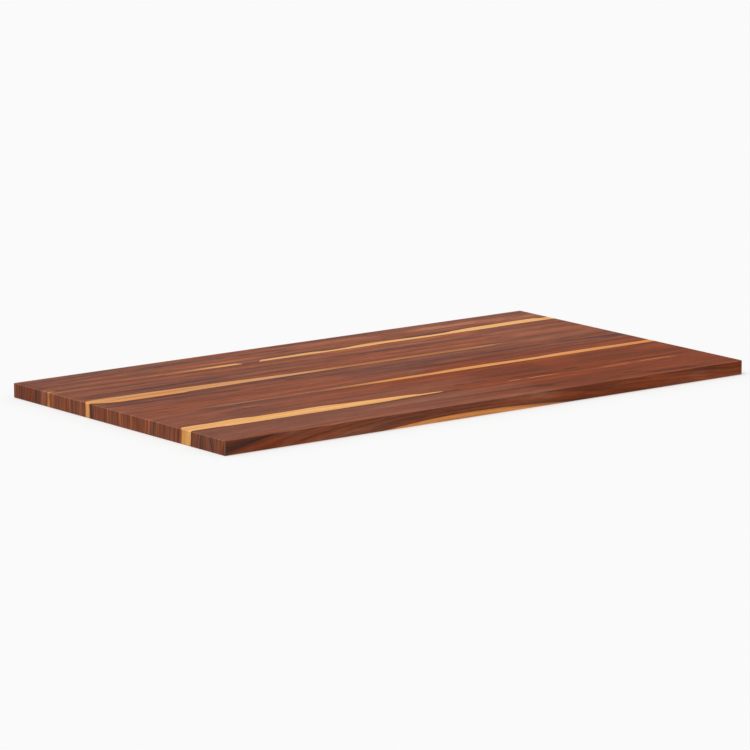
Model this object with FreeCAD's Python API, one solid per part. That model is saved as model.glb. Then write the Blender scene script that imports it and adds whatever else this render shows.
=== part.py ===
# Hardwood desk top, 55 by 30 inches and 1 1/4 inches thick.
# It is five full-length staves of solid wood, glued edge to edge with plain square joints. The planks were
# ripped to whatever width they gave, so each stave has a width of its own. The glued panel is trimmed and
# sanded as one board, and then all its outer edges are eased to a small round.
#
# Millimetres, +Z up. X runs along the staves and Y across them, from the front edge to the back edge.
# The origin is the centre of the underside, which is the face that a desk frame is screwed to.
import FreeCAD
import Part
import os

# Driving sizes
LENGTH = 1397.0  # along the staves, which all run from end to end
THICKNESS = 31.75
ARRIS_RADIUS = 2.0  # round on each outer edge, top, bottom and upright corners alike

# Width of each stave, from the back edge of the desk to the front edge
BACK_WIDTH = 130.0
BACK_MIDDLE_WIDTH = 156.0
MIDDLE_WIDTH = 190.0
FRONT_MIDDLE_WIDTH = 170.0
FRONT_WIDTH = 116.0

STAVES = {
    "back_stave": BACK_WIDTH,
    "back_middle_stave": BACK_MIDDLE_WIDTH,
    "middle_stave": MIDDLE_WIDTH,
    "front_middle_stave": FRONT_MIDDLE_WIDTH,
    "front_stave": FRONT_WIDTH,
}
DEPTH = sum(STAVES.values())


def board(width, back_y):
    """A square-edged board of the full length, whose back edge lies at back_y."""
    front_left_corner = FreeCAD.Vector(-LENGTH / 2, back_y - width, 0)
    return Part.makeBox(LENGTH, width, THICKNESS, front_left_corner)


def eased_panel():
    """The outer form of the glued panel, with every outer edge rounded over."""
    panel = board(DEPTH, DEPTH / 2)
    return panel.makeFillet(ARRIS_RADIUS, panel.Edges)


def stave(width, back_y):
    """The part of the eased panel that one stave takes up, with a square glue face on each inner side."""
    return eased_panel().common(board(width, back_y)).Solids[0]


os.makedirs("parts", exist_ok=True)
back_y = DEPTH / 2
for name, width in STAVES.items():
    stave(width, back_y).exportStep(f"parts/{name}.step")
    back_y -= width
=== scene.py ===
import math
import bpy
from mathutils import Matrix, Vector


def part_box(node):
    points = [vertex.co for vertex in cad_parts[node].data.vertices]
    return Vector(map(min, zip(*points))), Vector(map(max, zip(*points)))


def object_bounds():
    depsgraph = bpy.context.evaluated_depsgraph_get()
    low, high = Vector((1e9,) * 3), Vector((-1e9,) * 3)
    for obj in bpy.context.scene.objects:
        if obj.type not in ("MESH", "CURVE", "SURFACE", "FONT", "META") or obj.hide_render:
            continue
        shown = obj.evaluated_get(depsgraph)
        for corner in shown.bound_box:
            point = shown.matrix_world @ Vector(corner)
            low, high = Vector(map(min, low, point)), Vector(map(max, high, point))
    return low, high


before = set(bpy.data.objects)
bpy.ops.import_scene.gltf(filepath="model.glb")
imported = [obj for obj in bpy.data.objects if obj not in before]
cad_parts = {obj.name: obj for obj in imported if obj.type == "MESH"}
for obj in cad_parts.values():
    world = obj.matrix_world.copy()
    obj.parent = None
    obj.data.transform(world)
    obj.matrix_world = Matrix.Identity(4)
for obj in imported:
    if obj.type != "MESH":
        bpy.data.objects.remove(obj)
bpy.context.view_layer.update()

panel_low, panel_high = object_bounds()

# Back stave: the plank along the back edge of the desk, solid red-brown hardwood. A streak of yellow
# sapwood runs along its front face, where it is glued to the next stave. The glued panel was sanded as
# one board, its edges were eased, and it was finished with a satin oil.

LENGTH = panel_high.x - panel_low.x
THICKNESS = panel_high.z
BACK_EDGE = panel_high.y

# Heartwood of all five staves under the oil, from its darkest rings to its palest, and how its redder
# parts are tinted
HEARTWOOD_TONES = (
    (0.090, 0.041, 0.037),
    (0.158, 0.063, 0.046),
    (0.240, 0.083, 0.049),
    (0.335, 0.119, 0.066),
    (0.460, 0.184, 0.104),
)
RED_TINT = (0.97, 0.60, 0.34)

# Sapwood, how its fine lines tint it, and the darker rim of the heartwood beside it
SAPWOOD_YELLOW = (0.880, 0.470, 0.180)
SAPWOOD_ORANGE = (0.780, 0.325, 0.100)
THIN_ORANGE = (0.640, 0.215, 0.064)
SAPWOOD_LINES = (0.90, 0.78, 0.60)
RIM_BROWN = (0.110, 0.036, 0.024)


def node(tree, kind, inputs=None, **settings):
    """A shader node with its settings, and each input linked to a socket or set to a value."""
    made = tree.nodes.new("ShaderNode" + kind)
    for name, value in settings.items():
        setattr(made, name, value)
    for name, value in (inputs or {}).items():
        socket = made.inputs[name]
        if isinstance(value, bpy.types.NodeSocket):
            tree.links.new(value, socket)
        elif socket.type == "RGBA":
            socket.default_value = (*value, 1)
        else:
            socket.default_value = value
    return made


def maths(tree, operation, *values):
    return node(tree, "Math", dict(enumerate(values)), operation=operation).outputs[0]


def ease(tree, value, low, high):
    """0 where value is at low, 1 where it is at high, and smooth between. Low may be above high."""
    inputs = {"Value": value, "From Min": low, "From Max": high}
    return node(tree, "MapRange", inputs, interpolation_type="SMOOTHSTEP").outputs["Result"]


def spread(tree, value, low, high):
    """A texture's middle range, 0.3 to 0.7, spread out to low and high."""
    inputs = {"Value": value, "From Min": 0.3, "From Max": 0.7, "To Min": low, "To Max": high}
    return node(tree, "MapRange", inputs, clamp=False).outputs["Result"]


def swing(tree, value, reach):
    """A texture's middle range spread out as far as reach on each side of 0."""
    return spread(tree, value, -reach, reach)


def total(tree, *values):
    whole = values[0]
    for value in values[1:]:
        whole = maths(tree, "ADD", whole, value)
    return whole


def blend(tree, mask, under, over, mode="MIX"):
    """The colour over laid on the colour under, as far as mask says."""
    inputs = {"Factor": mask, 6: under, 7: over}
    return node(tree, "Mix", inputs, data_type="RGBA", blend_type=mode).outputs[2]


def ramp(tree, value, colours):
    """Evenly spaced colours, the first where value is 0 and the last where it is 1."""
    made = node(tree, "ValToRGB", {"Fac": value})
    stops = made.color_ramp.elements
    for step in range(1, len(colours) - 1):
        stops.new(step / (len(colours) - 1))
    for stop, colour in zip(stops, colours):
        stop.color = (*colour, 1)
    return made.outputs["Color"]


def texture(tree, sockets, paces, detail=2.0):
    """Noise at a place in the wood, given by its sockets along the grain, across it and up the thickness.
    The paces say how much the noise changes in a metre of each."""
    scaled = [maths(tree, "MULTIPLY", socket, pace) for socket, pace in zip(sockets, paces)]
    place = node(tree, "CombineXYZ", dict(enumerate(scaled))).outputs[0]
    inputs = {"Vector": place, "Scale": 1.0, "Detail": detail, "Roughness": 0.55}
    return node(tree, "TexNoise", inputs).outputs["Fac"]


def group(name, inputs, outputs):
    """A new node group with those sockets: its tree, its inputs, and its outputs to be linked."""
    tree = bpy.data.node_groups.new(name, "ShaderNodeTree")
    for direction, sockets in (("INPUT", inputs), ("OUTPUT", outputs)):
        for socket in sockets:
            kind = "NodeSocketFloat"
            if socket in ("Vector", "Normal"):
                kind = "NodeSocketVector"
            if socket.endswith("Colour"):
                kind = "NodeSocketColor"
            tree.interface.new_socket(socket, in_out=direction, socket_type=kind)
    return tree, tree.nodes.new("NodeGroupInput").outputs, tree.nodes.new("NodeGroupOutput").inputs


def use(tree, made_group, inputs):
    return node(tree, "Group", inputs, node_tree=made_group).outputs


# Paces of the bends in the grain and of the ragged sides of a streak, and how far the grain wanders from
# its straight line, in metres
SLOW_BENDS = (2.1, 5.0, 9.0)
QUICK_BENDS = (8.0, 26.0, 30.0)
RAGGED_SIDES = (9.0, 190.0, 12.0)
SLOW_WANDER = 0.0030
QUICK_WANDER = 0.0010


def grain_place_group():
    """Where a point lies in the grain. Along is metres from the left end. Across is metres from the back
    edge of the desk, measured on the top, and follows the growth rings down through the thickness. Ragged,
    from -1 to 1, roughens the sides of a streak."""
    inputs = ("Vector", "Seed", "Wander", "Lean", "Far Lean", "Back Face", "Front Face")
    outputs = ("Along", "Across", "Height", "Ragged")
    tree, given, result = group("grain place", inputs, outputs)
    axes = node(tree, "SeparateXYZ", {0: given["Vector"]}).outputs
    height = axes["Z"]
    along = maths(tree, "ADD", axes["X"], LENGTH / 2)
    depth = maths(tree, "SUBTRACT", THICKNESS, height)
    across = maths(tree, "SUBTRACT", BACK_EDGE, axes["Y"])
    lean_range = {
        "Value": across,
        "From Min": given["Back Face"],
        "From Max": given["Front Face"],
        "To Min": given["Lean"],
        "To Max": given["Far Lean"],
    }
    lean = node(tree, "MapRange", lean_range).outputs["Result"]
    leaning = maths(tree, "MULTIPLY_ADD", depth, lean, across)
    shifted = maths(tree, "ADD", along, given["Seed"])
    slow = texture(tree, (shifted, across, height), SLOW_BENDS, detail=0.0)
    quick = texture(tree, (shifted, across, height), QUICK_BENDS, detail=1.0)
    wander = total(tree, swing(tree, slow, SLOW_WANDER), swing(tree, quick, QUICK_WANDER))
    ragged = texture(tree, (shifted, leaning, height), RAGGED_SIDES, detail=1.0)
    tree.links.new(along, result["Along"])
    tree.links.new(maths(tree, "MULTIPLY_ADD", wander, given["Wander"], leaning), result["Across"])
    tree.links.new(height, result["Height"])
    tree.links.new(swing(tree, ragged, 1.0), result["Ragged"])
    return tree


# Shares of a streak's half width: how ragged its sides are, and how much of it is at full strength
RAGGEDNESS = 0.30
STREAK_CORE = 0.3


def streak_group():
    """One soft streak along the grain, from Start to End, that drifts across the grain by its Slope."""
    inputs = ("Along", "Across", "Ragged", "Start", "End", "Fade", "Place", "Slope", "Half Width")
    tree, given, result = group("streak", inputs, ("Mask",))
    half_width = given["Half Width"]
    from_start = maths(tree, "SUBTRACT", given["Along"], given["Start"])
    centre = maths(tree, "MULTIPLY_ADD", from_start, given["Slope"], given["Place"])
    off_centre = maths(tree, "ABSOLUTE", maths(tree, "SUBTRACT", given["Across"], centre))
    ragged = maths(tree, "MULTIPLY", given["Ragged"], RAGGEDNESS)
    off_centre = maths(tree, "MULTIPLY_ADD", ragged, half_width, off_centre)
    body = ease(tree, off_centre, half_width, maths(tree, "MULTIPLY", half_width, STREAK_CORE))
    entry = ease(tree, from_start, 0.0, given["Fade"])
    leave = ease(tree, maths(tree, "SUBTRACT", given["End"], given["Along"]), 0.0, given["Fade"])
    whole = maths(tree, "MULTIPLY", maths(tree, "MULTIPLY", entry, leave), body)
    tree.links.new(whole, result["Mask"])
    return tree


# Paces of the heartwood's textures. The red parts take their sockets in another order, across the grain
# first, so that they don't follow the bands.
BROAD_BANDS = (0.9, 15.0, 2.0)
BANDS = (1.8, 52.0, 4.0)
NARROW_BANDS = (3.0, 130.0, 6.0)
FINE_LINES = (5.0, 290.0, 8.0)
DASHES = (28.0, 230.0, 16.0)
RED_PARTS = (44.0, 1.5, 4.0)

# How far each texture or streak moves the tone, where 0 is the darkest of the tones and 1 the palest
BROAD_BAND_TONE = 0.10
BAND_TONE = 0.14
NARROW_BAND_TONE = 0.13
FINE_LINE_TONE = 0.13
DASH_TONE = 0.12
DARK_STREAK_TONE = -0.42
PALE_STREAK_TONE = 0.36

# How far they move the redness, and the redness at which the red tint is whole
RED_PART_REDNESS = 0.40
NARROW_BAND_REDNESS = 0.15
DARK_STREAK_REDNESS = -0.15
FULL_REDNESS = 1.1


def heartwood_group():
    """Heartwood: long bands and finer streaks from dark to pale that follow the growth rings, with redder
    wood here and there. Dark, Pale and Red are the listed streaks. Lines are its fine rings."""
    inputs = ("Along", "Across", "Height", "Seed", "Tone", "Contrast", "Dark", "Pale", "Red")
    tree, given, result = group("heartwood", inputs, ("Colour", "Lines"))
    along = maths(tree, "ADD", given["Along"], given["Seed"])
    across = maths(tree, "ADD", given["Across"], given["Seed"])
    spot = (along, across, given["Height"])
    broad = texture(tree, spot, BROAD_BANDS)
    bands = texture(tree, spot, BANDS)
    narrow = texture(tree, spot, NARROW_BANDS)
    lines = texture(tree, spot, FINE_LINES)
    dashes = texture(tree, spot, DASHES)
    reds = texture(tree, (across, along, given["Height"]), RED_PARTS)
    tone = total(
        tree,
        swing(tree, broad, BROAD_BAND_TONE),
        swing(tree, bands, BAND_TONE),
        swing(tree, narrow, NARROW_BAND_TONE),
        swing(tree, lines, FINE_LINE_TONE),
        swing(tree, dashes, DASH_TONE),
    )
    tone = maths(tree, "MULTIPLY_ADD", tone, given["Contrast"], given["Tone"])
    tone = maths(tree, "MULTIPLY_ADD", given["Dark"], DARK_STREAK_TONE, tone)
    tone = maths(tree, "MULTIPLY_ADD", given["Pale"], PALE_STREAK_TONE, tone)
    red = total(tree, swing(tree, reds, RED_PART_REDNESS), swing(tree, narrow, NARROW_BAND_REDNESS))
    red = total(tree, red, given["Red"])
    red = maths(tree, "MULTIPLY_ADD", given["Dark"], DARK_STREAK_REDNESS, red)
    wood = ramp(tree, tone, HEARTWOOD_TONES)
    wood = blend(tree, ease(tree, red, 0.0, FULL_REDNESS), wood, RED_TINT, "MULTIPLY")
    tree.links.new(wood, result["Colour"])
    tree.links.new(maths(tree, "MULTIPLY", total(tree, narrow, lines), 0.5), result["Lines"])
    return tree


RIM_WIDTH = 0.009
THINNEST_SAPWOOD = 0.002  # sapwood fades away where its inner and outer sides are closer than this


def sapwood_edge_group():
    """How far a point is sapwood, from Inner to Outer metres off the glued face, and how far it is in the
    darker rim of the heartwood beside it."""
    inputs = ("Distance", "Inner", "Outer", "Blur")
    tree, given, result = group("sapwood edge", inputs, ("Mask", "Rim"))
    half_blur = maths(tree, "MULTIPLY", given["Blur"], 0.5)
    minus_blur = maths(tree, "MULTIPLY", given["Blur"], -0.5)
    inside = maths(tree, "SUBTRACT", given["Outer"], given["Distance"])
    past_inner = maths(tree, "SUBTRACT", given["Distance"], given["Inner"])
    body = ease(tree, inside, minus_blur, half_blur)
    body = maths(tree, "MULTIPLY", body, ease(tree, past_inner, minus_blur, half_blur))
    thickness = maths(tree, "SUBTRACT", given["Outer"], given["Inner"])
    there = ease(tree, thickness, 0.0, THINNEST_SAPWOOD)
    rim = ease(tree, inside, -RIM_WIDTH, 0.0)
    tree.links.new(maths(tree, "MULTIPLY", body, there), result["Mask"])
    tree.links.new(maths(tree, "MULTIPLY", rim, there), result["Rim"])
    return tree


# Paces of the finest textures, and where the pores' texture starts to be a pore and is wholly one
FIBRES = (11.0, 620.0, 620.0)
PORES = (60.0, 1500.0, 1500.0)
PORE_STARTS = 0.60
PORE_WHOLE = 0.72

# A face is end grain or edge grain as the part of its normal along X or Y grows from the first of these to
# the second
TURN_STARTS = 0.3
TURN_WHOLE = 0.9

# It is an eased edge as the largest part of its normal falls from the first to the second of these
FLAT_FACE = 0.98
EASED_FACE = 0.80

# How deep the rings show on the top, and how much deeper in the end grain and along the edges. Pale rings
# stand out less than dark ones.
TOP_RINGS = 0.06
END_RINGS = 0.36
EDGE_RINGS = 0.26
PALE_RING_LIMIT = 0.45

# What the fibres, pores and joints do to the colour of the wood, and the painted highlight on the eased
# edges
FIBRE_SHADES = (0.91, 1.09)
PORE_SHADE = -0.30
JOINT_SHADE = -0.45
END_GRAIN_TINT = (0.98, 0.92, 0.81)
# Painted highlight: a paler colour laid on the eased edges, where the rounded arris catches the light
EDGE_HIGHLIGHT_COLOUR = (0.62, 0.36, 0.24)
EDGE_HIGHLIGHT_SHARE = 0.18
UPRIGHT_HIGHLIGHT_SHARE = 0.24  # added on the upright corners

# The roughness of the oil, and the relief of the surface in metres
FIBRE_ROUGHNESS = (0.66, 0.76)
END_GRAIN_ROUGHNESS = 0.08
FIBRE_RELIEF = 0.00004
PORE_RELIEF = -0.00005


def surface_group():
    """The sanded and oiled surface: open pores, darker end grain, the hairline of a glue joint and a painted
    highlight along the eased edges. Height is in metres, for the bump."""
    inputs = ("Vector", "Normal", "Lines", "Joint Line", "Wood Colour")
    tree, given, result = group("oiled surface", inputs, ("Colour", "Roughness", "Height"))
    axes = node(tree, "SeparateXYZ", {0: given["Vector"]}).outputs
    facing = node(tree, "SeparateXYZ", {0: given["Normal"]}).outputs
    sides = [maths(tree, "ABSOLUTE", facing[axis]) for axis in "XYZ"]
    end_grain = ease(tree, sides[0], TURN_STARTS, TURN_WHOLE)
    edge_grain = ease(tree, sides[1], TURN_STARTS, TURN_WHOLE)
    flattest = maths(tree, "MAXIMUM", maths(tree, "MAXIMUM", sides[0], sides[1]), sides[2])
    eased_edge = ease(tree, flattest, FLAT_FACE, EASED_FACE)
    spot = (axes["X"], axes["Y"], axes["Z"])
    fibre = texture(tree, spot, FIBRES)
    pore = ease(tree, texture(tree, spot, PORES, detail=1.0), PORE_STARTS, PORE_WHOLE)
    ring_depth = maths(tree, "MULTIPLY_ADD", end_grain, END_RINGS, TOP_RINGS)
    ring_depth = maths(tree, "MULTIPLY_ADD", edge_grain, EDGE_RINGS, ring_depth)
    rings = maths(tree, "MINIMUM", swing(tree, given["Lines"], 1.0), PALE_RING_LIMIT)
    pore_shade = maths(tree, "MULTIPLY_ADD", pore, PORE_SHADE, 1.0)
    joint_shade = maths(tree, "MULTIPLY_ADD", given["Joint Line"], JOINT_SHADE, 1.0)
    shade = maths(tree, "MULTIPLY_ADD", rings, ring_depth, 1.0)
    shade = maths(tree, "MULTIPLY", shade, spread(tree, fibre, *FIBRE_SHADES))
    shade = maths(tree, "MULTIPLY", shade, pore_shade)
    shade = maths(tree, "MULTIPLY", shade, joint_shade)
    wood = node(tree, "VectorMath", {0: given["Wood Colour"], "Scale": shade}, operation="SCALE").outputs[0]
    wood = blend(tree, end_grain, wood, blend(tree, 1.0, wood, END_GRAIN_TINT, "MULTIPLY"))
    # Painted highlight on the eased edges, with more of it on the upright corners
    upright = ease(tree, sides[2], TURN_STARTS, 0.0)
    highlight_share = maths(tree, "MULTIPLY_ADD", upright, UPRIGHT_HIGHLIGHT_SHARE, EDGE_HIGHLIGHT_SHARE)
    wood = blend(tree, maths(tree, "MULTIPLY", eased_edge, highlight_share), wood, EDGE_HIGHLIGHT_COLOUR)
    rough = spread(tree, fibre, *FIBRE_ROUGHNESS)
    rough = maths(tree, "MULTIPLY_ADD", end_grain, END_GRAIN_ROUGHNESS, rough)
    height = maths(tree, "MULTIPLY_ADD", pore, PORE_RELIEF, spread(tree, fibre, 0.0, FIBRE_RELIEF))
    tree.links.new(wood, result["Colour"])
    tree.links.new(rough, result["Roughness"])
    tree.links.new(height, result["Height"])
    return tree


GRAIN_PLACE = grain_place_group()
STREAK = streak_group()
HEARTWOOD = heartwood_group()
SAPWOOD_EDGE = sapwood_edge_group()
SURFACE = surface_group()

# A streak fades in and out over a length that grows with its width, up to a share of its own length
FADE_LENGTH = 0.08
FADE_PER_WIDTH = 0.4
FADE_SHARE = 0.3


def streaks(tree, grain, rows):
    """The mask of several streaks. A row is where the streak starts and ends along the stave, its places
    from the back edge there, its width and its strength."""
    mask = 0.0
    for start, end, place_at_start, place_at_end, width, strength in rows:
        inputs = {
            "Along": grain["Along"],
            "Across": grain["Across"],
            "Ragged": grain["Ragged"],
            "Start": start,
            "End": end,
            "Fade": min(FADE_SHARE * (end - start), FADE_LENGTH + FADE_PER_WIDTH * width),
            "Place": place_at_start,
            "Slope": (place_at_end - place_at_start) / (end - start),
            "Half Width": width / 2,
        }
        streak = use(tree, STREAK, inputs)["Mask"]
        mask = maths(tree, "MAXIMUM", mask, maths(tree, "MULTIPLY", streak, strength))
    return mask


def heartwood(tree, grain, seed, tone, contrast, redness, dark, pale, red):
    """The heartwood of one stave: its middle tone, its contrast and redness, and its rows of streaks."""
    inputs = {
        "Along": grain["Along"],
        "Across": grain["Across"],
        "Height": grain["Height"],
        "Seed": seed,
        "Tone": tone,
        "Contrast": contrast,
        "Dark": streaks(tree, grain, dark),
        "Pale": streaks(tree, grain, pale),
        "Red": maths(tree, "ADD", streaks(tree, grain, red), redness),
    }
    return use(tree, HEARTWOOD, inputs)


def curve(tree, along, points):
    """A smooth curve through points, each a place along the stave and the value there, in metres."""
    tallest = max(value for metres, value in points)
    made = node(tree, "FloatCurve", {"Value": maths(tree, "DIVIDE", along, LENGTH)})
    line = made.mapping.curves[0]
    for metres, value in points[1:-1]:
        line.points.new(metres / LENGTH, value / tallest)
    for end in (0, -1):
        metres, value = points[end]
        line.points[end].location = (metres / LENGTH, value / tallest)
    made.mapping.update()
    return maths(tree, "MULTIPLY", made.outputs[0], tallest)


# Pace of the sapwood's fine lines, and where that texture starts to be a line and is wholly one
SAPWOOD_GRAIN = (2.4, 150.0, 8.0)
SAPWOOD_LINE_STARTS = 0.38
SAPWOOD_LINE_WHOLE = 0.66


def sapwood_colour(tree, grain, colour, seed):
    """Sapwood of that colour, with finer and deeper lines along the grain."""
    along = maths(tree, "ADD", grain["Along"], seed)
    fine = texture(tree, (along, grain["Across"], grain["Height"]), SAPWOOD_GRAIN)
    lines = ease(tree, fine, SAPWOOD_LINE_STARTS, SAPWOOD_LINE_WHOLE)
    return blend(tree, lines, colour, SAPWOOD_LINES, "MULTIPLY")


SAPWOOD_BLUR = 0.004
PAST_THE_JOINT = -1.0  # an inner side so far behind the glued face that sapwood is whole at the face


def sapwood(tree, grain, wood, distance, outer, colour, seed, rim_share=0.55, inner=None, fade=None):
    """The wood with sapwood laid on at a glued face, outer and inner being its curves of distance from it.
    A fade is where the sapwood starts to dull, where it stops dulling, and the share that is then left. It
    dulls towards the left if it starts on the right."""
    inner_side = PAST_THE_JOINT
    if inner:
        inner_side = maths(tree, "SUBTRACT", curve(tree, grain["Along"], inner), SAPWOOD_BLUR / 2)
    inputs = {
        "Distance": distance,
        "Inner": inner_side,
        "Outer": curve(tree, grain["Along"], outer),
        "Blur": SAPWOOD_BLUR,
    }
    edge = use(tree, SAPWOOD_EDGE, inputs)
    mask = edge["Mask"]
    rim = maths(tree, "MULTIPLY", edge["Rim"], rim_share)
    if fade:
        start, end, least = fade
        kept = maths(tree, "MULTIPLY_ADD", ease(tree, grain["Along"], start, end), least - 1.0, 1.0)
        mask = maths(tree, "MULTIPLY", mask, kept)
        rim = maths(tree, "MULTIPLY", rim, kept)
    wood = blend(tree, rim, wood, RIM_BROWN)
    return blend(tree, mask, wood, sapwood_colour(tree, grain, colour, seed))


def begin_stave(name, seed, lean, far_lean, wander=1.0):
    """A new material for a stave: the material, its tree, the places in its grain and its two faces. The
    rings move back by lean for each metre down at the back face, and by far_lean at the front face."""
    material = bpy.data.materials.new(name + "_oiled")
    material.use_nodes = True
    tree = material.node_tree
    low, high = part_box(name)
    back_face = BACK_EDGE - high.y
    front_face = BACK_EDGE - low.y
    inputs = {
        "Vector": node(tree, "TexCoord").outputs["Object"],
        "Seed": seed,
        "Wander": wander,
        "Lean": lean,
        "Far Lean": far_lean,
        "Back Face": back_face,
        "Front Face": front_face,
    }
    grain = use(tree, GRAIN_PLACE, inputs)
    return material, tree, grain, back_face, front_face


# How far off a glue joint its hairline starts and is darkest, in metres
JOINT_LINE_STARTS = 0.0009
JOINT_LINE_WHOLE = 0.0002
OIL_SPECULAR = 0.10  # a satin oil throws back little light


def finish_stave(name, material, wood, lines, joints):
    """The oiled surface over the wood colour, put on the stave."""
    tree = material.node_tree
    spot = node(tree, "TexCoord").outputs
    y = node(tree, "SeparateXYZ", {0: spot["Object"]}).outputs["Y"]
    joint_line = 0.0
    for joint in joints:
        off_joint = maths(tree, "ABSOLUTE", maths(tree, "SUBTRACT", y, BACK_EDGE - joint))
        hairline = ease(tree, off_joint, JOINT_LINE_STARTS, JOINT_LINE_WHOLE)
        joint_line = maths(tree, "MAXIMUM", joint_line, hairline)
    inputs = {
        "Vector": spot["Object"],
        "Normal": spot["Normal"],
        "Lines": lines,
        "Joint Line": joint_line,
        "Wood Colour": wood,
    }
    surface = use(tree, SURFACE, inputs)
    bump = node(tree, "Bump", {"Height": surface["Height"], "Distance": 1.0, "Strength": 1.0})
    shader = tree.nodes["Principled BSDF"]
    shader.inputs["Specular IOR Level"].default_value = OIL_SPECULAR
    tree.links.new(surface["Colour"], shader.inputs["Base Color"])
    tree.links.new(surface["Roughness"], shader.inputs["Roughness"])
    tree.links.new(bump.outputs["Normal"], shader.inputs["Normal"])
    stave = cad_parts[name]
    for slot in stave.material_slots:
        slot.material = material


BACK_SEED = 3.0  # each stave's seed picks its own stretch of the textures

material, tree, grain, back_face, front_face = begin_stave(
    "back_stave",
    seed=BACK_SEED,
    lean=0.02,
    far_lean=0.05,
)
heart = heartwood(
    tree,
    grain,
    seed=BACK_SEED,
    tone=0.50,
    contrast=1.25,
    redness=0.22,
    # Each row: start, end, place at the start, place at the end, width, strength. A start below 0 or an end
    # past LENGTH lets the streak run off the stave.
    dark=(
        (-0.100, 0.030, 0.0380, 0.0380, 0.066, 0.25),
        (-0.100, 0.030, 0.0860, 0.0860, 0.030, 0.50),
        (-0.100, 0.300, 0.0340, 0.0340, 0.060, 0.45),
        (0.120, 0.260, 0.0470, 0.0440, 0.007, 0.60),
        (0.240, 0.480, 0.0340, 0.0420, 0.036, 0.40),
        (0.310, 0.520, 0.1080, 0.1065, 0.006, 0.60),
        (0.640, 1.100, 0.0140, 0.0160, 0.024, 0.30),
        (1.170, 1.400, 0.0890, 0.0860, 0.006, 0.50),
    ),
    pale=(
        (-0.100, 0.030, 0.1120, 0.1120, 0.020, 0.60),
        (0.110, 0.280, 0.0720, 0.0780, 0.034, 0.45),
        (0.270, 0.640, 0.0840, 0.0880, 0.030, 0.85),
        (0.530, 0.720, 0.0280, 0.0300, 0.022, 0.45),
        (0.660, 0.980, 0.0520, 0.0540, 0.034, 0.80),
        (1.000, 1.500, 0.0560, 0.0640, 0.050, 1.10),
    ),
    red=(
        (-0.100, 0.040, 0.0400, 0.0400, 0.090, 0.60),
        (0.110, 0.280, 0.0720, 0.0780, 0.034, 0.25),
        (0.270, 0.640, 0.0860, 0.0900, 0.030, 0.30),
        (1.100, 1.400, 0.0700, 0.0740, 0.012, 0.35),
    ),
)
end_line = streaks(tree, grain, ((-0.050, 0.022, 0.1305, 0.1305, 0.012, 0.95),))
wood = blend(tree, end_line, heart["Colour"], SAPWOOD_ORANGE)
thin_line = streaks(tree, grain, ((0.160, 0.345, 0.1215, 0.1210, 0.007, 0.60),))
wood = blend(tree, thin_line, wood, THIN_ORANGE)
wood = sapwood(
    tree,
    grain,
    wood,
    distance=maths(tree, "SUBTRACT", front_face, grain["Across"]),
    outer=(
        (0.0, 0.0), (0.29, 0.0), (0.315, 0.0090), (0.35, 0.0125), (0.43, 0.0155), (0.502, 0.0148),
        (0.516, 0.0), (0.546, 0.0), (0.570, 0.0160), (0.643, 0.0178), (0.700, 0.0192), (0.760, 0.0130),
        (0.840, 0.0200), (0.908, 0.0230), (1.027, 0.0165), (1.118, 0.0253), (1.187, 0.0325),
        (1.257, 0.0345), (1.355, 0.0345), (1.372, 0.0280), (1.397, 0.0290),
    ),
    inner=(
        (0.0, 0.0), (0.83, 0.0), (0.908, 0.0050), (1.027, 0.0042), (1.118, 0.0050), (1.187, 0.0048),
        (1.257, 0.0075), (1.397, 0.0065),
    ),
    fade=(0.47, 0.31, 0.35),
    rim_share=0.30,
    colour=blend(tree, ease(tree, grain["Along"], 0.30, 0.70), SAPWOOD_ORANGE, SAPWOOD_YELLOW),
    seed=BACK_SEED,
)

# The rings show less here than on the other staves: they keep this share of their swing about the middle
RINGS_KEPT = 0.6
calm_lines = maths(tree, "MULTIPLY_ADD", heart["Lines"], RINGS_KEPT, 0.5 * (1 - RINGS_KEPT))
finish_stave("back_stave", material, wood, calm_lines, (front_face,))

# Back middle stave: the second plank, of the same hardwood, glued between the back stave and the middle one.
# A wedge of tan sapwood along its front face starts wide at the left end and dies out towards the right.

BACK_MIDDLE_SEED = 11.0
SAPWOOD_END = (0.825, 0.392, 0.140)  # in the end grain
SAPWOOD_TAN = (0.710, 0.365, 0.162)  # on the top
DULL_TAN = (0.480, 0.225, 0.110)  # a darker line in the tan

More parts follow.
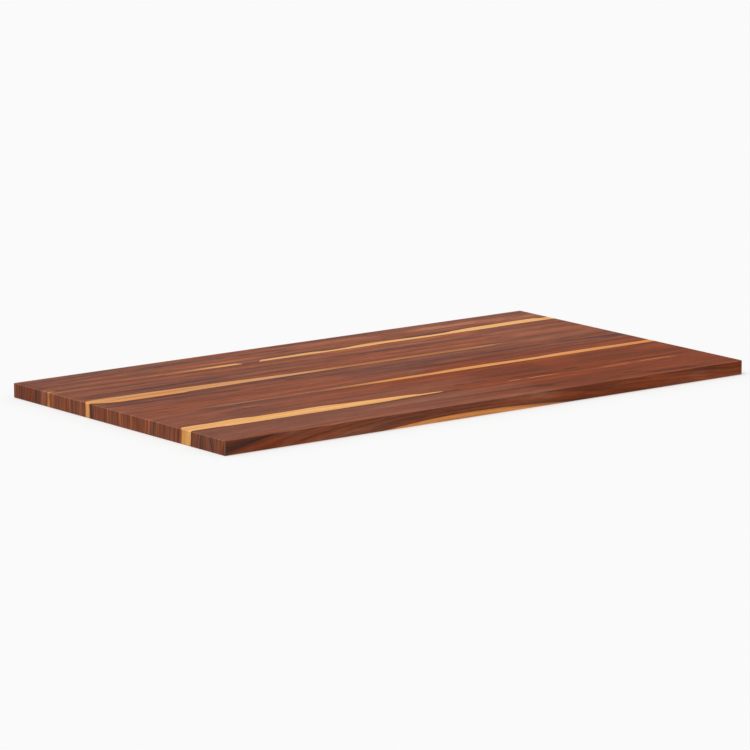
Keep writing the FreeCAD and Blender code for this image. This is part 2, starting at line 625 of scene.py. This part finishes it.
material, tree, grain, back_face, front_face = begin_stave(
    "back_middle_stave",
    seed=BACK_MIDDLE_SEED,
    lean=0.04,
    far_lean=0.02,
)
heart = heartwood(
    tree,
    grain,
    seed=BACK_MIDDLE_SEED,
    tone=0.52,
    contrast=1.15,
    redness=0.30,
    dark=(
        (-0.100, 0.025, 0.1450, 0.1450, 0.018, 0.45),
        (-0.100, 0.030, 0.1720, 0.1720, 0.008, 0.35),
        (-0.100, 0.030, 0.2235, 0.2235, 0.006, 0.60),
        (-0.050, 0.340, 0.1640, 0.1700, 0.050, 0.35),
        (-0.020, 0.420, 0.2420, 0.2450, 0.018, 0.45),
        (-0.020, 0.440, 0.2220, 0.2260, 0.024, 0.95),
        (0.360, 1.000, 0.2125, 0.2080, 0.007, 0.50),
        (0.650, 1.100, 0.1910, 0.1890, 0.026, 0.45),
        (1.120, 1.400, 0.2620, 0.2660, 0.009, 0.30),
    ),
    pale=(
        (-0.100, 0.035, 0.2400, 0.2400, 0.030, 0.50),
        (-0.020, 0.240, 0.2030, 0.2050, 0.012, 0.90),
        (0.420, 0.720, 0.2450, 0.2430, 0.018, 0.30),
        (0.540, 1.170, 0.2195, 0.2185, 0.013, 0.80),
        (0.600, 1.150, 0.1680, 0.1680, 0.026, 0.40),
        (0.620, 1.130, 0.2390, 0.2400, 0.014, 0.55),
        (0.680, 1.200, 0.1430, 0.1440, 0.022, 1.10),
        (1.100, 1.360, 0.1880, 0.1920, 0.030, 0.55),
        (1.120, 1.450, 0.2320, 0.2360, 0.036, 0.70),
    ),
    red=(
        (-0.020, 0.240, 0.2030, 0.2050, 0.012, 0.20),
        (0.420, 0.720, 0.2450, 0.2430, 0.020, 0.45),
        (0.540, 1.170, 0.2195, 0.2185, 0.014, 0.45),
        (0.620, 1.130, 0.2390, 0.2400, 0.016, 0.45),
        (0.680, 1.200, 0.1430, 0.1440, 0.018, 0.40),
    ),
)
end_line = streaks(tree, grain, ((-0.050, 0.022, 0.1345, 0.1345, 0.013, 0.95),))
wood = blend(tree, end_line, heart["Colour"], SAPWOOD_ORANGE)
sapwood_tan = blend(tree, ease(tree, grain["Along"], -0.01, 0.04), SAPWOOD_END, SAPWOOD_TAN)
sapwood_tan = blend(tree, ease(tree, grain["Along"], 0.45, 0.70), sapwood_tan, SAPWOOD_ORANGE)
dull_line = streaks(tree, grain, ((0.020, 0.320, 0.2820, 0.2825, 0.013, 0.65),))
wood = sapwood(
    tree,
    grain,
    wood,
    distance=maths(tree, "SUBTRACT", front_face, grain["Across"]),
    outer=(
        (0.0, 0.0160), (0.014, 0.0265), (0.042, 0.0285), (0.084, 0.0262), (0.14, 0.0262), (0.21, 0.0220),
        (0.28, 0.0192), (0.35, 0.0166), (0.42, 0.0112), (0.49, 0.0070), (0.56, 0.0038), (0.63, 0.0040),
        (0.70, 0.0055), (0.80, 0.0062), (0.91, 0.0074), (1.05, 0.0070), (1.13, 0.0), (1.397, 0.0),
    ),
    inner=((0.0, 0.0030), (0.014, 0.0005), (0.04, 0.0), (1.397, 0.0)),
    fade=(0.53, 0.68, 0.40),
    rim_share=0.30,
    colour=blend(tree, dull_line, sapwood_tan, DULL_TAN),
    seed=BACK_MIDDLE_SEED,
)
finish_stave("back_middle_stave", material, wood, heart["Lines"], (back_face, front_face))

# Middle stave: the widest plank, glued between the two beside it. A sliver of orange sapwood on its back
# face ends at a dark ring, and a long orange streak on its front face widens towards the right end.

MIDDLE_SEED = 23.0
BACK_SLIVER_SEED = 29.0

material, tree, grain, back_face, front_face = begin_stave(
    "middle_stave",
    seed=MIDDLE_SEED,
    lean=0.02,
    far_lean=0.06,
)
heart = heartwood(
    tree,
    grain,
    seed=MIDDLE_SEED,
    tone=0.50,
    contrast=1.00,
    redness=0.38,
    dark=(
        (-0.100, 0.030, 0.3690, 0.3690, 0.014, 0.60),
        (-0.100, 0.030, 0.4625, 0.4625, 0.016, 0.50),
        (-0.040, 0.350, 0.3380, 0.3380, 0.046, 0.62),
        (-0.030, 0.290, 0.3150, 0.3170, 0.022, 1.05),
        (-0.020, 0.070, 0.2860, 0.3160, 0.016, 1.00),
        (-0.020, 0.320, 0.3500, 0.3520, 0.060, 0.35),
        (0.230, 0.360, 0.3500, 0.3540, 0.036, 0.65),
        (0.250, 0.450, 0.3120, 0.3090, 0.010, 0.35),
        (0.340, 0.470, 0.3800, 0.3780, 0.024, 0.30),
        (0.430, 0.540, 0.3580, 0.3580, 0.010, 0.70),
        (0.465, 0.540, 0.3320, 0.3320, 0.010, 0.80),
        (0.540, 0.920, 0.3600, 0.3660, 0.056, 0.80),
        (0.560, 1.100, 0.3880, 0.3900, 0.034, 0.50),
        (0.730, 0.850, 0.3040, 0.3040, 0.008, 0.60),
        (0.760, 1.230, 0.3510, 0.3530, 0.022, 1.10),
        (0.990, 1.090, 0.3040, 0.3040, 0.008, 0.60),
        (1.050, 1.400, 0.3860, 0.3860, 0.022, 0.35),
        (1.160, 1.500, 0.3500, 0.3620, 0.026, 1.25),
        (1.290, 1.450, 0.3180, 0.3220, 0.010, 0.50),
        (1.290, 1.500, 0.3620, 0.3760, 0.036, 1.20),
    ),
    pale=(
        (-0.100, 0.030, 0.4020, 0.4020, 0.030, 0.35),
        (-0.100, 0.030, 0.4340, 0.4340, 0.032, 0.60),
        (-0.050, 0.200, 0.4580, 0.4580, 0.050, 0.45),
        (-0.020, 0.640, 0.4280, 0.4300, 0.064, 0.30),
        (0.450, 0.540, 0.3455, 0.3455, 0.010, 0.70),
        (0.480, 0.760, 0.4430, 0.4460, 0.024, 0.45),
        (0.740, 1.500, 0.4340, 0.4300, 0.036, 0.25),
        (1.140, 1.260, 0.3000, 0.3050, 0.028, 0.30),
    ),
    red=(
        (-0.050, 0.200, 0.4580, 0.4580, 0.050, 0.35),
        (-0.020, 0.640, 0.4280, 0.4300, 0.064, 0.30),
        (0.450, 0.540, 0.3455, 0.3455, 0.010, 0.50),
        (0.480, 0.760, 0.4430, 0.4460, 0.024, 0.45),
        (0.740, 1.500, 0.4000, 0.4000, 0.060, 0.30),
        (0.740, 1.500, 0.4340, 0.4300, 0.040, 0.90),
    ),
)
sapwood_tan = blend(tree, ease(tree, grain["Along"], 0.21, 0.26), SAPWOOD_ORANGE, SAPWOOD_TAN)
wood = sapwood(
    tree,
    grain,
    heart["Colour"],
    distance=maths(tree, "SUBTRACT", grain["Across"], back_face),
    outer=(
        (0.0, 0.0), (0.02, 0.009), (0.055, 0.0190), (0.08, 0.0215), (0.22, 0.0220), (0.245, 0.0175),
        (0.42, 0.0130), (0.56, 0.0120), (0.75, 0.0110), (1.05, 0.0085), (1.12, 0.0), (1.397, 0.0),
    ),
    fade=(0.53, 0.68, 0.45),
    rim_share=0.35,
    colour=blend(tree, ease(tree, grain["Along"], 0.45, 0.70), sapwood_tan, SAPWOOD_ORANGE),
    seed=BACK_SLIVER_SEED,
)
thin_line = streaks(tree, grain, ((0.150, 0.600, 0.4690, 0.4700, 0.009, 0.55),))
wood = blend(tree, thin_line, wood, THIN_ORANGE)
wood = sapwood(
    tree,
    grain,
    wood,
    distance=maths(tree, "SUBTRACT", front_face, grain["Across"]),
    outer=(
        (0.0, 0.0), (0.44, 0.0), (0.50, 0.0100), (0.53, 0.0115), (0.56, 0.0120), (0.63, 0.0130),
        (0.70, 0.0155), (0.77, 0.0165), (0.84, 0.0218), (0.908, 0.0222), (0.978, 0.0185), (1.048, 0.0172),
        (1.118, 0.0205), (1.187, 0.0207), (1.257, 0.0202), (1.327, 0.0195), (1.397, 0.0260),
    ),
    fade=(0.66, 0.47, 0.35),
    colour=SAPWOOD_ORANGE,
    seed=MIDDLE_SEED,
)
finish_stave("middle_stave", material, wood, heart["Lines"], (back_face, front_face))

# Front middle stave: the fourth plank, glued in as the others are, with the widest and palest sapwood of the
# panel. The wedge starts at the left end and runs to a point before the middle, clear of the joint. Dark
# dashes follow on, and the right half is a deeper red.

FRONT_MIDDLE_SEED = 37.0

material, tree, grain, back_face, front_face = begin_stave(
    "front_middle_stave",
    seed=FRONT_MIDDLE_SEED,
    lean=0.05,
    far_lean=0.02,
)
heart = heartwood(
    tree,
    grain,
    seed=FRONT_MIDDLE_SEED,
    tone=0.51,
    contrast=0.90,
    redness=0.42,
    dark=(
        (-0.100, 0.030, 0.5135, 0.5135, 0.012, 0.60),
        (-0.100, 0.030, 0.5520, 0.5520, 0.030, 0.50),
        (-0.100, 0.030, 0.6000, 0.6000, 0.006, 0.70),
        (0.120, 0.560, 0.4900, 0.4920, 0.030, 0.35),
        (0.190, 0.275, 0.5240, 0.5240, 0.013, 1.00),
        (0.380, 0.640, 0.4790, 0.4790, 0.008, 0.90),
        (0.560, 0.740, 0.6430, 0.6410, 0.011, 1.30),
        (0.640, 1.450, 0.4785, 0.4785, 0.007, 0.70),
        (0.720, 0.755, 0.6020, 0.6020, 0.010, 1.10),
        (0.765, 0.820, 0.5980, 0.5980, 0.010, 1.10),
        (0.780, 1.060, 0.5300, 0.5320, 0.100, 0.40),
        (0.850, 1.010, 0.6100, 0.6100, 0.008, 1.15),
        (1.020, 1.070, 0.6020, 0.6020, 0.010, 1.10),
        (1.060, 1.370, 0.5150, 0.5180, 0.084, 0.50),
        (1.110, 1.400, 0.5800, 0.5800, 0.060, 0.15),
        (1.140, 1.400, 0.6145, 0.6145, 0.010, 1.25),
        (1.290, 1.450, 0.4870, 0.4870, 0.012, 0.70),
    ),
    pale=(
        (-0.100, 0.030, 0.4910, 0.4910, 0.032, 0.60),
        (-0.100, 0.030, 0.5285, 0.5285, 0.018, 0.35),
        (-0.100, 0.030, 0.5915, 0.5915, 0.012, 0.60),
        (-0.060, 0.190, 0.5450, 0.5450, 0.070, 0.60),
        (0.000, 0.170, 0.4860, 0.4860, 0.030, 0.50),
        (0.280, 0.500, 0.5480, 0.5500, 0.070, 0.25),
        (1.240, 1.450, 0.5040, 0.5040, 0.010, 0.60),
        (1.250, 1.450, 0.5200, 0.5220, 0.010, 0.50),
    ),
    red=(
        (-0.060, 0.170, 0.5450, 0.5450, 0.060, 0.20),
        (-0.050, 0.220, 0.4860, 0.4860, 0.040, 0.35),
        (0.520, 1.800, 0.5600, 0.5600, 0.500, 0.30),
        (0.660, 1.900, 0.5600, 0.5600, 0.500, 0.90),
    ),
)
thin_lines = streaks(
    tree,
    grain,
    (
        (-0.050, 0.060, 0.6095, 0.6095, 0.010, 0.60),
        (0.840, 0.885, 0.6315, 0.6315, 0.008, 0.75),
        (0.885, 0.995, 0.6320, 0.6320, 0.008, 0.75),
        (1.095, 1.200, 0.6335, 0.6330, 0.008, 0.70),
        (1.190, 1.335, 0.6325, 0.6325, 0.008, 0.75),
    ),
)
wood = blend(tree, thin_lines, heart["Colour"], THIN_ORANGE)
wood = sapwood(
    tree,
    grain,
    wood,
    distance=maths(tree, "SUBTRACT", front_face, grain["Across"]),
    outer=(
        (0.0, 0.0334), (0.014, 0.0472), (0.042, 0.0475), (0.084, 0.0460), (0.14, 0.0500), (0.20, 0.0427),
        (0.28, 0.0418), (0.35, 0.0445), (0.42, 0.0385), (0.49, 0.0345), (0.56, 0.0285), (0.59, 0.0245),
        (0.615, 0.0175), (0.645, 0.0145), (0.660, 0.0120), (0.680, 0.0080), (1.397, 0.0080),
    ),
    inner=(
        (0.0, 0.0027), (0.014, 0.0075), (0.042, 0.0069), (0.084, 0.0040), (0.12, 0.0), (0.38, 0.0),
        (0.46, 0.0005), (0.53, 0.0042), (0.56, 0.0070), (0.60, 0.0080), (0.645, 0.0090), (0.660, 0.0098),
        (0.680, 0.0115), (1.397, 0.0115),
    ),
    colour=SAPWOOD_YELLOW,
    seed=FRONT_MIDDLE_SEED,
)
finish_stave("front_middle_stave", material, wood, heart["Lines"], (back_face, front_face))

# Front stave: the narrowest plank, glued on along the front edge of the desk, purple-brown on top and redder
# on the right. Its rings lean outwards and rise in the middle, so the front edge shows arched bands, with a
# lens of orange sapwood low down under the highest of them.

FRONT_SEED = 51.0
RING_LEAN = 0.80  # how far the rings move back for each metre down, at the front face
LEFT_LEAN_LOSS = 0.50  # how much less they lean at the left end
LEAN_LOSS_ENDS = 0.42  # how far from the left end they lean in full
ARCH_REACH = 0.100  # how far in from the front edge the arch dies out
SAPWOOD_RING = 0.7772  # the ring where the sapwood starts
SAPWOOD_HALF_BLUR = 0.0008
LENS_RIM_WIDTH = 0.004
LENS_RIM_SHARE = 0.5
# The lens's sapwood orange, made brighter than the other staves' orange: partly its own colour, partly
# painted light for the dimmer front face
LENS_ORANGE_WITH_PAINTED_LIGHT = (0.900, 0.345, 0.100)

material, tree, grain, back_face, front_face = begin_stave(
    "front_stave",
    seed=FRONT_SEED,
    lean=0.05,
    far_lean=RING_LEAN,
    wander=0.35,
)
near_front = ease(tree, grain["Across"], front_face - ARCH_REACH, front_face)
drop = curve(
    tree,
    grain["Along"],
    (
        (0.0, 0.0335), (0.07, 0.0290), (0.25, 0.0185), (0.40, 0.0100), (0.50, 0.0042), (0.657, 0.0),
        (0.80, 0.0036), (0.915, 0.0101), (1.05, 0.0190), (1.23, 0.0275), (1.397, 0.0350),
    ),
)
depth = maths(tree, "SUBTRACT", THICKNESS, grain["Height"])
near_left = ease(tree, grain["Along"], LEAN_LOSS_ENDS, 0.0)
lean_loss = maths(tree, "MULTIPLY", near_left, LEFT_LEAN_LOSS)
drop = maths(tree, "MULTIPLY_ADD", depth, lean_loss, drop)
ring = maths(tree, "SUBTRACT", grain["Across"], maths(tree, "MULTIPLY", drop, near_front))
grain = {"Along": grain["Along"], "Across": ring, "Height": grain["Height"], "Ragged": grain["Ragged"]}
heart = heartwood(
    tree,
    grain,
    seed=FRONT_SEED,
    tone=0.48,
    contrast=0.75,
    redness=0.24,
    dark=(
        (-0.100, 0.030, 0.6750, 0.6750, 0.036, 0.35),
        (-0.100, 0.030, 0.6970, 0.6970, 0.008, 0.60),
        (-0.100, 0.180, 0.7345, 0.7345, 0.0075, 0.70),
        (-0.100, 0.480, 0.6920, 0.6920, 0.110, 0.20),
        (-0.100, 0.600, 0.6500, 0.6500, 0.008, 0.60),
        (0.140, 0.460, 0.7535, 0.7530, 0.004, 0.50),
        (0.845, 0.905, 0.7100, 0.7130, 0.022, 0.80),
        (1.090, 1.150, 0.7010, 0.7040, 0.014, 0.60),
        (1.100, 1.500, 0.7390, 0.7390, 0.005, 0.50),
        (1.120, 1.300, 0.7215, 0.7195, 0.016, 0.80),
    ),
    pale=(
        (-0.300, 0.960, 0.7600, 0.7600, 0.060, 0.45),
        (-0.100, 0.300, 0.7430, 0.7430, 0.012, 0.45),
        (0.400, 0.700, 0.6800, 0.6820, 0.036, 0.30),
        (1.000, 1.700, 0.7480, 0.7460, 0.036, 0.45),
    ),
    red=(
        (-0.300, 0.200, 0.7380, 0.7380, 0.042, 0.75),
        (-0.300, 1.700, 0.7760, 0.7760, 0.120, 0.30),
        (0.600, 1.800, 0.6900, 0.6900, 0.260, 0.30),
        (0.770, 1.800, 0.6860, 0.6860, 0.190, 1.00),
        (0.800, 1.250, 0.7620, 0.7620, 0.070, 0.75),
    ),
)
lens = ease(tree, ring, SAPWOOD_RING - SAPWOOD_HALF_BLUR, SAPWOOD_RING + SAPWOOD_HALF_BLUR)
lens_rim = ease(tree, ring, SAPWOOD_RING - LENS_RIM_WIDTH, SAPWOOD_RING)
wood = blend(tree, maths(tree, "MULTIPLY", lens_rim, LENS_RIM_SHARE), heart["Colour"], RIM_BROWN)
# The lens in its orange, which carries some painted light
wood = blend(tree, lens, wood, sapwood_colour(tree, grain, LENS_ORANGE_WITH_PAINTED_LIGHT, FRONT_SEED))
finish_stave("front_stave", material, wood, heart["Lines"], (back_face,))

# Studio: a pale floor that ends out of sight, an even pale sky, and one soft lamp high on the left. A view
# from below looks through the floor, and the light from the sky reaches the underside through it.

FLOOR_REACH = 60.0
FLOOR_DROP = 0.0005  # keeps the floor clear of the underside
PAPER_GREY = (0.5, 0.5, 0.5)
PAPER_GLOW = 0.44
bpy.ops.object.select_all(action="DESELECT")
bpy.ops.mesh.primitive_plane_add(size=FLOOR_REACH, location=(0, 0, -FLOOR_DROP))
floor = bpy.context.object
floor.name = "studio_floor"
floor.visible_diffuse = False
paper = bpy.data.materials.new("pale_floor")
paper.use_nodes = True
tree = paper.node_tree
tree.nodes.clear()
matt = node(tree, "BsdfDiffuse", {"Color": PAPER_GREY}).outputs[0]
glow = node(tree, "Emission", {"Color": (1, 1, 1), "Strength": PAPER_GLOW}).outputs[0]
lit = node(tree, "AddShader", {0: matt, 1: glow}).outputs[0]
rays = node(tree, "LightPath").outputs
seen = total(tree, rays["Is Camera Ray"], rays["Is Glossy Ray"], rays["Is Transmission Ray"])
upper = node(tree, "MixShader", {0: seen, 1: matt, 2: lit}).outputs[0]
below = node(tree, "NewGeometry").outputs["Backfacing"]
clear = node(tree, "BsdfTransparent").outputs[0]
both = node(tree, "MixShader", {0: below, 1: upper, 2: clear}).outputs[0]
node(tree, "OutputMaterial", {"Surface": both})
floor.data.materials.append(paper)

SKY_STRENGTH = 0.5
sky = bpy.data.worlds.new("studio_sky")
sky.use_nodes = True
sky.node_tree.nodes["Background"].inputs["Color"].default_value = (1, 1, 1, 1)
sky.node_tree.nodes["Background"].inputs["Strength"].default_value = SKY_STRENGTH
bpy.context.scene.world = sky

LAMP_TILT = math.radians(28)  # off the vertical, towards the left end
LAMP_STRENGTH = 1.9
LAMP_SPREAD = math.radians(40)  # a wide lamp, so that shadows are soft
lamp_data = bpy.data.lights.new("soft_lamp", "SUN")
lamp_data.energy = LAMP_STRENGTH
lamp_data.angle = LAMP_SPREAD
lamp = bpy.data.objects.new("soft_lamp", lamp_data)
lamp.rotation_euler = (0, -LAMP_TILT, 0)
bpy.context.scene.collection.objects.link(lamp)

# Camera: 11 degrees above the top, looking along it from the front left, and so far off that the long
# edges hardly draw together.

CAMERA_PLACE = (-6.6322, -8.5104, 2.1418)
CAMERA_PITCH = math.radians(11.106)  # below the horizon
CAMERA_YAW = math.radians(-37.849)  # to the right of straight ahead
FOCAL_LENGTH = 244.85  # millimetres, as is the sensor
SENSOR_WIDTH = 36.0
camera_data = bpy.data.cameras.new("camera")
camera_data.lens = FOCAL_LENGTH
camera_data.sensor_width = SENSOR_WIDTH
camera = bpy.data.objects.new("camera", camera_data)
camera.location = CAMERA_PLACE
camera.rotation_euler = (math.pi / 2 - CAMERA_PITCH, 0, CAMERA_YAW)
bpy.context.scene.collection.objects.link(camera)
bpy.context.scene.camera = camera
bpy.context.scene.view_settings.view_transform = "Standard"
